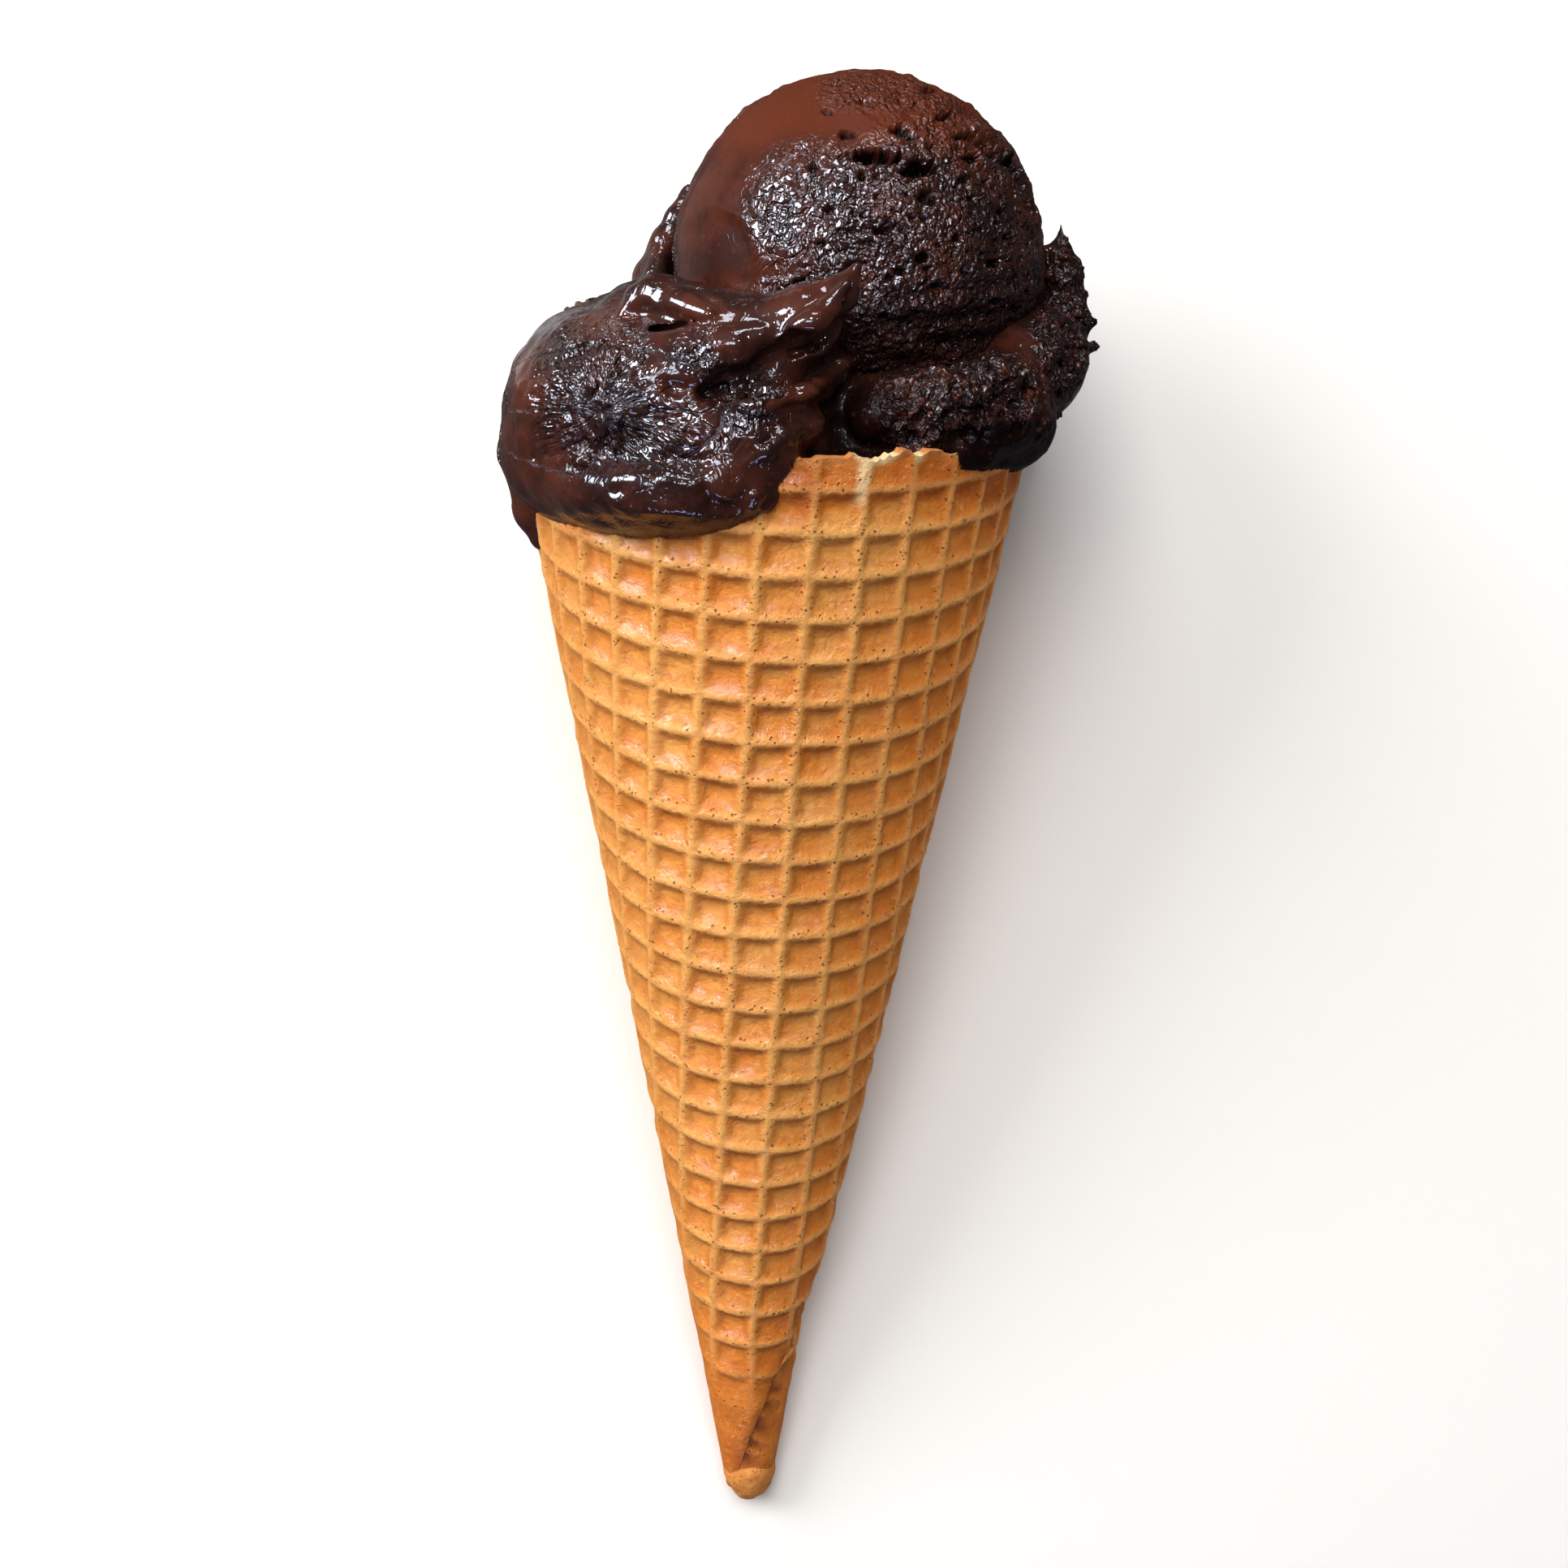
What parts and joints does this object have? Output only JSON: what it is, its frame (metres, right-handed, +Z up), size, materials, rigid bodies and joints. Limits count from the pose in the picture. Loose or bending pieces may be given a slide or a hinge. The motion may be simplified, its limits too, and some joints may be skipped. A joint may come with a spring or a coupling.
{
  "type": "chocolate ice cream cone",
  "caption": "Rolled waffle cone with a lower scoop that folds over its rim and a round upper scoop, lying on its back.",
  "frame": {"origin": "centre of the bounding box in X and Y, on the ground that the cone lies on", "axes": "+Y from the wafer's tip toward the scoops, +Z up from the ground toward the shown side, +X to the right as shown"},
  "size_m": [0.0738, 0.1888, 0.0654],
  "materials": {
    "baked_wafer": "matt baked wafer",
    "chocolate_ice_upper": "damp chocolate ice cream, partly crumbly",
    "chocolate_ice_lower": "wet, melting chocolate ice cream"
  },
  "bodies": {
    "root": {"waffle_cone": "baked_wafer", "scoop_upper": "chocolate_ice_upper", "scoop_lower": "chocolate_ice_lower"}
  },
  "joints": []
}
